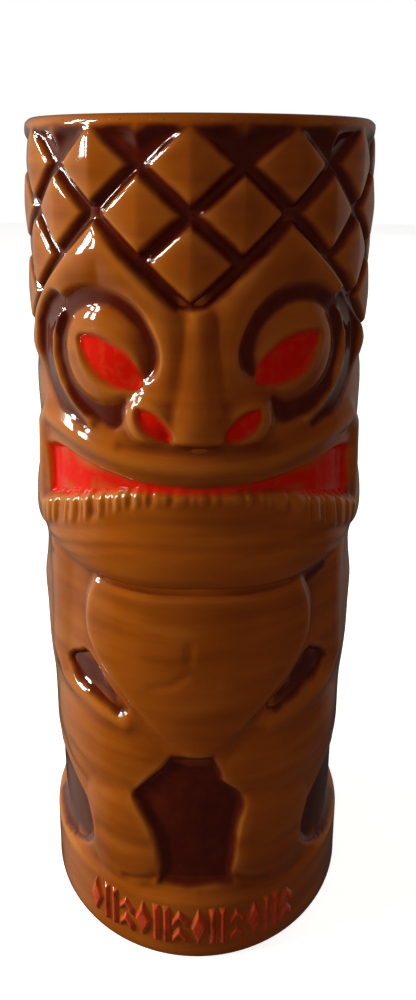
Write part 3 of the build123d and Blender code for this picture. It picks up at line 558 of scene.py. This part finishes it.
def mark_paint(t, z):
    """Distance inside the nearest of the base band's lozenges, paired bars and chevrons."""
    i = np.clip(np.round((t - MARK_START) / MARK_PITCH), 0, MARK_COUNT - 1)
    dx = (t - MARK_START - MARK_PITCH * i) * MM_PER_DEGREE
    dz = z - (MARK_LOW + MARK_HIGH) / 2
    half, tall = MARK_ANGLE / 2 * MM_PER_DEGREE, (MARK_HIGH - MARK_LOW) / 2
    lozenge = (1.0 - abs(dx) / half - abs(dz) / tall) * half * tall / math.hypot(half, tall)
    bars = np.minimum(0.36 * half - abs(abs(dx) - 0.64 * half), tall - abs(dz))
    fold = dz + tall - 2.0 * (1.0 - abs(dx) / half)
    chevrons = np.minimum(0.75 * (0.9 - abs(fold % 3.7 - 0.9)), half - abs(dx))
    chevrons = np.minimum(chevrons, np.minimum(fold, 5.5 - fold))
    return np.choose((i % 3).astype(int), [lozenge, bars, chevrons])


PAINTS = {
    "groove_paint": groove_paint, "eye_paint": eye_paint, "nostril_paint": nostril_paint,
    "eye_ring_paint": eye_ring_paint, "cheek_gouge_paint": cheek_gouge_paint, "jowl_painted_shade": jowl_painted_shade,
    "mouth_paint": mouth_inside, "arm_gap_paint": arm_gap_inside, "leg_gap_paint": leg_gap_inside,
    "hip_paint": hip_inside, "frieze_marks": mark_paint,
}
RED = ("eye_paint", "nostril_paint", "mouth_paint")
MARKS = ("frieze_marks",)


def cover(name, t, z):
    """Distance in mm inside a glaze's hand-painted edge."""
    steady = 0.4 if name in MARKS else 1.0
    return PAINTS[name](t, z) + steady * sample(WOBBLE, t, z)


def shade(t, z, names, soft=0.45):
    """How strongly the named glazes colour each place, from 0 to 1."""
    found = np.zeros(np.shape(t + z))
    for name in names:
        found = np.maximum(found, ramp(cover(name, t, z), -soft, soft))
    return found


# The dark list takes in the dark glazes and also the painted shade patches under the jaw.
DARK = [name for name in PAINTS if name not in RED + MARKS]
POOL = (blur(RELIEF, 1.6) - RELIEF) / 0.5
COLOURS = {
    "dark": shade(T, Z, DARK, 0.6),
    "red": shade(T, Z, RED, 0.6),
    "mark": shade(T, Z, MARKS, 0.35),
    "pool": np.clip(POOL, -1.0, 1.0),
    "streak": mottle(31, 9.0, 1.6),
}


# ---------------------------------------------------------------- materials

def node(tree, kind, **settings):
    made = tree.nodes.new(kind)
    for key, value in settings.items():
        setattr(made, key, value)
    return made


def blend_colour(tree, base, over, share, blend="MIX"):
    """Colour base with over laid on it by share. base and share are sockets, over a socket or a colour."""
    made = node(tree, "ShaderNodeMix", data_type="RGBA", blend_type=blend)
    factor, a, b = made.inputs[0], made.inputs[6], made.inputs[7]
    if isinstance(share, float):
        factor.default_value = share
    else:
        tree.links.new(share, factor)
    for socket, value in ((a, base), (b, over)):
        if isinstance(value, tuple):
            socket.default_value = (*value, 1.0)
        else:
            tree.links.new(value, socket)
    return made.outputs[2]


def noise(tree, scale, detail=3.0, stretch=(1.0, 1.0, 1.0), rough=0.5):
    """A noise texture in object coordinates, scaled per metre."""
    place = node(tree, "ShaderNodeTexCoord")
    mapping = node(tree, "ShaderNodeMapping")
    mapping.inputs["Scale"].default_value = stretch
    made = node(tree, "ShaderNodeTexNoise")
    made.inputs["Scale"].default_value = scale
    made.inputs["Detail"].default_value = detail
    made.inputs["Roughness"].default_value = rough
    tree.links.new(place.outputs["Object"], mapping.inputs["Vector"])
    tree.links.new(mapping.outputs["Vector"], made.inputs["Vector"])
    return made.outputs["Fac"]


def spread(tree, value, low, high, to_low=0.0, to_high=1.0):
    """A value mapped from low..high to to_low..to_high, clamped."""
    made = node(tree, "ShaderNodeMapRange")
    for name, number in (("From Min", low), ("From Max", high), ("To Min", to_low), ("To Max", to_high)):
        made.inputs[name].default_value = number
    tree.links.new(value, made.inputs["Value"])
    return made.outputs["Result"]


def attribute(tree, name):
    made = node(tree, "ShaderNodeAttribute", attribute_name=name)
    return made.outputs["Fac"]


HONEY = (0.36, 0.080, 0.0035)
HONEY_DEEP = (0.13, 0.018, 0.001)
HONEY_PALE = (0.50, 0.150, 0.016)
# Dark glaze colours, also used for the painted shade patches under the jaw.
DARK_GLAZE_AND_SHADE = (0.078, 0.0062, 0.0010)
DARK_THIN_GLAZE_AND_SHADE = (0.11, 0.015, 0.005)
RED_GLAZE = (0.62, 0.008, 0.002)
RED_THIN = (0.60, 0.05, 0.010)
MARK_GLAZE = (0.58, 0.060, 0.014)
CLAY = (0.66, 0.56, 0.44)
CLAY_WARM = (0.52, 0.40, 0.28)
CLAY_GRIT = (0.22, 0.15, 0.10)


def new_material(name):
    material = bpy.data.materials.new(name)
    material.use_nodes = True
    tree = material.node_tree
    shader = tree.nodes["Principled BSDF"]
    return material, tree, shader


def honey_colour(tree):
    """Honey glaze: pale where it breaks over edges, deep where it pools, streaked where it ran."""
    pool, streak = attribute(tree, "pool"), attribute(tree, "streak")
    blotch = spread(tree, noise(tree, 45.0, 2.0), 0.42, 0.75, 0.0, 0.35)
    colour = blend_colour(tree, HONEY, HONEY_DEEP, blotch)
    colour = blend_colour(tree, colour, HONEY_DEEP, spread(tree, streak, 0.05, 1.1, 0.0, 0.32))
    grain = noise(tree, 55.0, 4.0, (1.0, 1.0, 9.0), 0.6)
    colour = blend_colour(tree, colour, HONEY_DEEP, spread(tree, grain, 0.50, 0.72, 0.0, 0.22))
    colour = blend_colour(tree, colour, HONEY_PALE, spread(tree, streak, -0.2, -1.2, 0.0, 0.30))
    colour = blend_colour(tree, colour, HONEY_DEEP, spread(tree, pool, 0.1, 0.9, 0.0, 0.75))
    return blend_colour(tree, colour, HONEY_PALE, spread(tree, pool, -0.15, -0.8, 0.0, 0.45))


def glaze_finish(tree, shader):
    """The gloss of fired glaze, with an uneven skin."""
    shader.inputs["IOR"].default_value = 1.52
    shader.inputs["Coat Weight"].default_value = 0.35
    shader.inputs["Coat Roughness"].default_value = 0.02
    tree.links.new(spread(tree, noise(tree, 160.0, 2.0), 0.35, 0.7, 0.05, 0.13), shader.inputs["Roughness"])
    swell = node(tree, "ShaderNodeBump")
    swell.inputs["Strength"].default_value = 0.12
    swell.inputs["Distance"].default_value = 0.0006
    tree.links.new(noise(tree, 210.0, 1.5), swell.inputs["Height"])
    tree.links.new(swell.outputs["Normal"], shader.inputs["Normal"])


def painted_glaze(name):
    """The honey coat and whatever is painted on it, told apart by the mesh's own colour maps."""
    material, tree, shader = new_material(name)
    colour = honey_colour(tree)
    thin = spread(tree, noise(tree, 330.0, 3.0), 0.4, 0.75, 0.0, 0.6)
    dark = blend_colour(tree, DARK_GLAZE_AND_SHADE, DARK_THIN_GLAZE_AND_SHADE, thin)
    red = blend_colour(tree, RED_GLAZE, RED_THIN, spread(tree, noise(tree, 420.0, 4.0), 0.48, 0.8, 0.0, 0.7))
    mark = blend_colour(tree, MARK_GLAZE, HONEY_DEEP, spread(tree, noise(tree, 500.0, 3.0), 0.5, 0.8, 0.0, 0.8))
    # The dark map lays on the dark glazes and also the painted shade under the jaw.
    colour = blend_colour(tree, colour, dark, attribute(tree, "dark"))
    colour = blend_colour(tree, colour, red, attribute(tree, "red"))
    colour = blend_colour(tree, colour, mark, attribute(tree, "mark"))
    tree.links.new(colour, shader.inputs["Base Color"])
    glaze_finish(tree, shader)
    gloss = spread(tree, attribute(tree, "red"), 0.0, 1.0, 0.5, 0.10)
    tree.links.new(gloss, shader.inputs["Specular IOR Level"])
    tree.links.new(spread(tree, attribute(tree, "red"), 0.0, 1.0, 0.35, 0.02), shader.inputs["Coat Weight"])
    return material


def lining_glaze(name):
    """The glaze poured inside, deeper where it ran down and gathered."""
    material, tree, shader = new_material(name)
    runs = noise(tree, 60.0, 3.0, (1.0, 1.0, 0.2))
    colour = blend_colour(tree, HONEY, HONEY_DEEP, spread(tree, runs, 0.4, 0.75, 0.0, 0.6))
    colour = blend_colour(tree, colour, HONEY_DEEP, attribute(tree, "pool"))
    tree.links.new(colour, shader.inputs["Base Color"])
    glaze_finish(tree, shader)
    return material


def bisque(name):
    """Unglazed cast clay, pale and chalky, with kiln dust in it."""
    material, tree, shader = new_material(name)
    colour = blend_colour(tree, CLAY, CLAY_WARM, spread(tree, noise(tree, 90.0, 4.0), 0.4, 0.7))
    grit = spread(tree, noise(tree, 1500.0, 2.0), 0.66, 0.74, 0.0, 0.6)
    colour = blend_colour(tree, colour, CLAY_GRIT, grit)
    tree.links.new(colour, shader.inputs["Base Color"])
    tree.links.new(spread(tree, noise(tree, 300.0, 3.0), 0.3, 0.7, 0.7, 0.9), shader.inputs["Roughness"])
    grain = node(tree, "ShaderNodeBump")
    grain.inputs["Strength"].default_value = 0.35
    grain.inputs["Distance"].default_value = 0.0003
    tree.links.new(noise(tree, 1100.0, 4.0), grain.inputs["Height"])
    tree.links.new(grain.outputs["Normal"], shader.inputs["Normal"])
    return material


GLAZE_MATERIAL = painted_glaze("honey_and_paint")
LINING_MATERIAL = lining_glaze("poured_lining")
BISQUE_MATERIAL = bisque("bisque_clay")


# ---------------------------------------------------------------- pieces

def add_piece(name, points, faces, cad_nodes, material, colours=None):
    """A smooth mesh piece in metres, riding on the mug and standing for CAD nodes."""
    mesh = bpy.data.meshes.new(name)
    mesh.from_pydata((points * MM).tolist(), [], faces.tolist() if hasattr(faces, "tolist") else faces)
    for key, values in (colours or {}).items():
        layer = mesh.attributes.new(key, "FLOAT", "POINT")
        layer.data.foreach_set("value", values.astype(np.float32))
    mesh.shade_smooth()
    mesh.materials.append(material)
    piece = bpy.data.objects.new(name, mesh)
    bpy.context.scene.collection.objects.link(piece)
    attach(piece, "root")
    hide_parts(*cad_nodes)
    return piece


def ring_faces(rows, columns, closed=False):
    """Quads between rows of points that go round, with the last row joined to the first if closed."""
    last = rows if closed else rows - 1
    r, c = np.meshgrid(np.arange(last), np.arange(columns), indexing="ij")
    up, over = (r + 1) % rows, (c + 1) % columns
    quads = [r * columns + c, r * columns + over, up * columns + over, up * columns + c]
    return np.stack(quads, -1).reshape(-1, 4)


def colours_at(t, z):
    return {key: sample(grid, t, z) for key, grid in COLOURS.items()}


def lip_arc(outer, start, end, count):
    """(radius, height) points of the half-round lip."""
    middle = taper(WALL_TOP) - LIP_ZONE
    turn = np.radians(np.linspace(start, end, count))
    return middle + outer * np.cos(turn), WALL_TOP + outer * np.sin(turn)


def coat():
    """The honey coat: a closed shell from the wiped foot up over the outer half of the lip."""
    columns = T[0]
    columns = columns[(abs(columns) <= FRONT) | (np.round(columns / STEP_T) % 2 == 0)]
    turn = np.radians(columns)
    rows = np.arange(FOOT_ZONE, WALL_TOP + 0.01, STEP_Z)
    r = taper(rows)[:, None] + sample(RELIEF, *np.meshgrid(columns, rows))
    z = rows[:, None] * np.ones(len(columns))
    hem_r = taper(FOOT_ZONE) - np.array([GLAZE, 0.2, 0.0])
    hem_z = GLAZE_START + np.array([0.05, 0.0, 0.4])
    over_r, over_z = lip_arc(LIP_ZONE, 8.0, 90.0, 10)
    under_r, under_z = lip_arc(LIP_ZONE - GLAZE, 90.0, 0.0, 5)
    inner_rows = np.arange(WALL_TOP - 2.0, FOOT_ZONE, -3.5)
    deep = -blur(-sample(LOWEST, *np.meshgrid(columns, inner_rows)), 1.0) - GLAZE
    flat = np.ones(len(columns))
    radii = [hem_r[:, None] * flat, r, over_r[:, None] * flat, under_r[:, None] * flat,
             taper(inner_rows)[:, None] + deep]
    heights = [hem_z[:, None] * flat, z, over_z[:, None] * flat, under_z[:, None] * flat,
               inner_rows[:, None] * flat]
    radii, heights = np.concatenate(radii), np.concatenate(heights)
    points = np.stack([radii * np.sin(turn), -radii * np.cos(turn), heights], -1).reshape(-1, 3)
    places = np.broadcast_to(columns, radii.shape).ravel(), heights.ravel()
    faces = ring_faces(len(radii), len(columns), closed=True)
    return add_piece("honey_coat", points, faces, ["honey_glaze_coat"], GLAZE_MATERIAL,
                     colours_at(*places))


def skin(name, paint, cad_node, side=0, grid=(0.5, 0.4), rise=0.07):
    """A painted glaze as its own thin closed skin: proud of the coat inside its edge, under it outside."""
    margin, bottom, everywhere = 0.9, -0.32, -999.0
    t_all, z_all = T[PAINTED[paint] > -margin], Z[PAINTED[paint] > -margin]
    keep = t_all * side >= 0.0 if side else t_all > everywhere
    t_all, z_all = t_all[keep], z_all[keep]
    if t_all.max() - t_all.min() > 350.0:
        columns = np.arange(-180.0, 180.0, grid[0])
    else:
        columns = np.arange(t_all.min() - 1.0, t_all.max() + 1.0, grid[0])
    wraps = len(columns) * grid[0] > 359.0
    t, z = np.meshgrid(columns, np.arange(z_all.min() - 0.6, z_all.max() + 0.6, grid[1]))
    inside = cover(paint, t, z)
    if side:
        inside = np.where(t * side >= 0.0, inside, -9.0)
    rows, count = t.shape
    r, c = np.meshgrid(np.arange(rows - 1), np.arange(count if wraps else count - 1), indexing="ij")
    over = (c + 1) % count
    quads = [r * count + c, r * count + over, (r + 1) * count + over, (r + 1) * count + c]
    quads = np.stack(quads, -1).reshape(-1, 4)
    quads = quads[(inside.ravel()[quads] > -margin).all(1)]
    top = mix(-0.14, rise, ramp(inside, -0.8, 0.5))
    if paint in MARKS:
        top = mix(-0.14, 0.0, ramp(inside, -0.6, -0.1)) + MARK_RISE * ramp(inside, -0.25, 0.55)
    used, quads = np.unique(quads, return_inverse=True)
    quads = quads.reshape(-1, 4)
    t, z, top = t.ravel()[used], z.ravel()[used], top.ravel()[used]
    points = np.concatenate([points_at(t, z, top), points_at(t, z, bottom)])
    under = quads[:, ::-1] + len(used)
    edges = np.concatenate([quads[:, [k, (k + 1) % 4]] for k in range(4)])
    known = {tuple(edge) for edge in edges.tolist()}
    rim = np.array([edge for edge in edges.tolist() if (edge[1], edge[0]) not in known])
    walls = np.stack([rim[:, 1], rim[:, 0], rim[:, 0] + len(used), rim[:, 1] + len(used)], -1)
    colours = {key: np.concatenate([values, values]) for key, values in colours_at(t, z).items()}
    faces = np.concatenate([quads, under, walls])
    return add_piece(name, points, faces, [cad_node], GLAZE_MATERIAL, colours)


def turned_piece(name, profile, cad_node, material, pool=None, columns=256):
    """A closed piece turned about Z from a loop of (radius, height) points."""
    profile = np.array(profile)
    turn = np.radians(np.arange(columns) * 360.0 / columns)
    r, z = np.maximum(profile[:, 0], AXIS_GAP)[:, None], profile[:, 1][:, None]
    points = np.stack([r * np.sin(turn), -r * np.cos(turn), z + 0 * turn], -1).reshape(-1, 3)
    colours = {"pool": np.repeat(pool, columns)} if pool is not None else None
    faces = ring_faces(len(profile), columns, closed=True)
    return add_piece(name, points, faces, [cad_node], material, colours)


def cavity_line(outset, count=60):
    """(radius, height) points of the hollow's side, from the floor's middle up to the lip."""
    middle = taper(WALL_TOP) - LIP_ZONE
    knots = [(z, r + outset) for z, r in CAVITY_PROFILE] + [(WALL_TOP, middle - LIP_ZONE + outset)]
    z = np.linspace(CAVITY_PROFILE[0][0] + 2.0, WALL_TOP, count)
    r = curve(z, knots)
    corner = np.radians(np.linspace(0.0, 80.0, 9))
    round_r = r[0] - 6.0 + 6.0 * np.sin(corner)
    round_z = CAVITY_FLOOR - outset + (z[0] - CAVITY_FLOOR + outset) * (1.0 - np.cos(corner)) * 0.97
    flat = [(x, CAVITY_FLOOR - outset) for x in (0.0, 0.2, *np.linspace(1.0, round_r[0] - 1.0, 8))]
    return flat + list(zip(round_r, round_z)) + list(zip(r, z))


def lining():
    """The poured lining, from the floor up over the inner half of the lip."""
    inner = cavity_line(0.0)
    lip_r, lip_z = lip_arc(LIP_ZONE, 172.0, 90.0, 10)
    under_r, under_z = lip_arc(LIP_ZONE - GLAZE, 90.0, 172.0, 6)
    outer = cavity_line(GLAZE)
    profile = inner + list(zip(lip_r, lip_z)) + list(zip(under_r, under_z)) + outer[::-1]
    heights = np.array([z for _, z in profile])
    pool = 0.85 * (1.0 - ramp(heights, 7.0, 26.0))
    return turned_piece("cup_lining", profile, "interior_glaze", LINING_MATERIAL, pool)


def clay():
    """The cast clay under the glazes, bare at the foot ring and underneath."""
    columns = T[0][::4]
    rows = np.arange(FOOT_ZONE, WALL_TOP, 2.0)
    wall = taper(rows)[:, None] + sample(LOWEST, *np.meshgrid(columns, rows)) - GLAZE - 0.05
    outside = taper(FOOT_ZONE) - GLAZE
    foot = [(AXIS_GAP, FOOT_RECESS), (0.2, FOOT_RECESS),
            (FOOT_RING_INNER - 1.6, FOOT_RECESS), (FOOT_RING_INNER - 0.9, FOOT_RECESS - 0.3),
            (FOOT_RING_INNER - 0.3, 0.35), (FOOT_RING_INNER + 0.5, 0.0),
            (outside - 0.6, 0.0), (outside - 0.2, 0.1), (outside, 0.35), (outside, 1.3)]
    lip_r, lip_z = lip_arc(LIP_ZONE - GLAZE, 0.0, 180.0, 12)
    inside = cavity_line(GLAZE)[::-1]
    flat = np.ones(len(columns))
    radii = np.concatenate([np.array([r for r, z in foot])[:, None] * flat, wall, lip_r[:, None] * flat,
                            np.array([max(r, AXIS_GAP) for r, z in inside])[:, None] * flat])
    heights = np.concatenate([[z for r, z in foot], rows, lip_z, [z for r, z in inside]])[:, None] * flat
    turn = np.radians(columns)
    points = np.stack([radii * np.sin(turn), -radii * np.cos(turn), heights], -1).reshape(-1, 3)
    faces = ring_faces(len(radii), len(columns), closed=True)
    return add_piece("cast_clay", points, faces, ["clay_body"], BISQUE_MATERIAL)


PAINTED = {name: cover(name, T, Z) for name in PAINTS}

clay()
lining()
coat()
skin("crown_groove_paint", "groove_paint", "crown_groove_glaze", grid=(0.5, 0.35), rise=0.04)
skin("mouth_paint", "mouth_paint", "mouth_glaze")
skin("leg_gap_paint", "leg_gap_paint", "leg_gap_glaze")
skin("frieze_marks", "frieze_marks", "base_band_marks", grid=(0.25, 0.2))
for side, word in ((-1, "left_"), (1, "right_")):
    skin(word + "eye_paint", "eye_paint", word + "eye_glaze", side, (0.3, 0.25))
    skin(word + "nostril_paint", "nostril_paint", word + "nostril_glaze", side, (0.3, 0.25))
    skin(word + "eye_ring_paint", "eye_ring_paint", word + "eye_ring_glaze", side)
    skin(word + "cheek_gouge_paint", "cheek_gouge_paint", word + "cheek_gouge_glaze", side)
    # The jowl skins are painted shade under the jaw, in the dark glaze colour.
    skin(word + "jowl_painted_shade", "jowl_painted_shade", word + "jowl_glaze", side)
    skin(word + "arm_gap_paint", "arm_gap_paint", word + "arm_gap_glaze", side)
    skin(word + "hip_paint", "hip_paint", word + "hip_glaze", side)


# ---------------------------------------------------------------- floor, light and camera

def floor():
    mesh = bpy.data.meshes.new("floor")
    half = 1.6
    corners = [(-half, -half, 0), (half, -half, 0), (half, half, 0), (-half, half, 0)]
    mesh.from_pydata(corners, [], [(0, 1, 2, 3)])
    material, tree, shader = new_material("pale_floor")
    shader.inputs["Base Color"].default_value = (0.85, 0.85, 0.85, 1.0)
    shader.inputs["Roughness"].default_value = 0.9
    shader.inputs["Emission Color"].default_value = (1.0, 1.0, 1.0, 1.0)
    shader.inputs["Emission Strength"].default_value = 0.85
    mesh.materials.append(material)
    made = bpy.data.objects.new("floor", mesh)
    made.visible_glossy = False
    made.visible_diffuse = False
    bpy.context.scene.collection.objects.link(made)


def soft_box(name, place, target, width, height, power, colour=(1.0, 1.0, 1.0)):
    light = bpy.data.lights.new(name, "AREA")
    light.shape = "RECTANGLE"
    light.size, light.size_y = width, height
    light.energy = power
    light.color = colour
    made = bpy.data.objects.new(name, light)
    made.location = place
    aim = np.array(target) - np.array(place)
    yaw = math.atan2(aim[1], aim[0]) - math.pi / 2
    pitch = math.atan2(aim[2], math.hypot(aim[0], aim[1])) + math.pi / 2
    made.rotation_euler = (pitch, 0.0, yaw)
    bpy.context.scene.collection.objects.link(made)
    return made


ROOM = (0.030, 0.027, 0.025)
DAYLIGHT = (0.46, 0.45, 0.37)
FAR_WALL = (0.22, 0.19, 0.16)


def towards(tree, place, direction, low, high):
    """How nearly a direction points the given way, from 0 to 1."""
    dot = node(tree, "ShaderNodeVectorMath", operation="DOT_PRODUCT")
    dot.inputs[1].default_value = direction
    tree.links.new(place.outputs["Generated"], dot.inputs[0])
    return spread(tree, dot.outputs["Value"], low, high)


def studio():
    """Window panes and soft daylight at the left, dim fills in front and behind, and a white surround."""
    middle = (0.0, 0.0, 0.11)
    for row in range(2):
        for column in range(2):
            place = (-0.74, -0.22 + 0.17 * column, 0.26 + 0.26 * row)
            soft_box(f"window_pane_{row}{column}", place, middle, 0.08, 0.15, 1.9, (0.94, 1.0, 0.95))
    side_light = soft_box("side_light", (-0.70, 0.22, 0.36), middle, 0.30, 0.40, 3.0, (0.86, 1.06, 0.90))
    side_light.visible_glossy = False
    soft_box("front_fill", (0.10, -1.1, 0.35), middle, 1.0, 0.8, 3.4, (1.0, 0.77, 0.55)).visible_glossy = False
    back_fill = soft_box("back_fill", (0.85, 0.80, 0.45), middle, 0.8, 0.8, 5.0, (1.0, 0.92, 0.82))
    back_fill.visible_glossy = False
    world = bpy.data.worlds.new("studio")
    world.use_nodes = True
    tree = world.node_tree
    seen, dim = tree.nodes["Background"], node(tree, "ShaderNodeBackground")
    seen.inputs["Color"].default_value = (1.0, 1.0, 1.0, 1.0)
    seen.inputs["Strength"].default_value = 1.0
    place = node(tree, "ShaderNodeTexCoord")
    wall = blend_colour(tree, ROOM, DAYLIGHT, towards(tree, place, (-0.91, 0.41, 0.0), 0.55, 0.92))
    wall = blend_colour(tree, wall, FAR_WALL, towards(tree, place, (0.72, 0.69, 0.0), 0.75, 1.0))
    tree.links.new(wall, dim.inputs["Color"])
    dim.inputs["Strength"].default_value = 1.0
    choice = node(tree, "ShaderNodeMixShader")
    rays = node(tree, "ShaderNodeLightPath")
    tree.links.new(rays.outputs["Is Camera Ray"], choice.inputs["Fac"])
    tree.links.new(dim.outputs["Background"], choice.inputs[1])
    tree.links.new(seen.outputs["Background"], choice.inputs[2])
    tree.links.new(choice.outputs["Shader"], tree.nodes["World Output"].inputs["Surface"])
    bpy.context.scene.world = world


def camera():
    """A phone held close in front of the rim, looking slightly down."""
    data = bpy.data.cameras.new("camera")
    data.sensor_width = 36.0
    data.lens = 29.06
    data.shift_x = 0.0081
    data.shift_y = -0.2574
    data.clip_start = 0.01
    made = bpy.data.objects.new("camera", data)
    made.location = (0.0, -0.1808, 0.1657)
    made.rotation_euler = (math.radians(90.0 - 6.67), math.radians(-0.25), 0.0)
    bpy.context.scene.collection.objects.link(made)
    bpy.context.scene.camera = made


floor()
studio()
camera()
bpy.context.scene.view_settings.view_transform = "Standard"
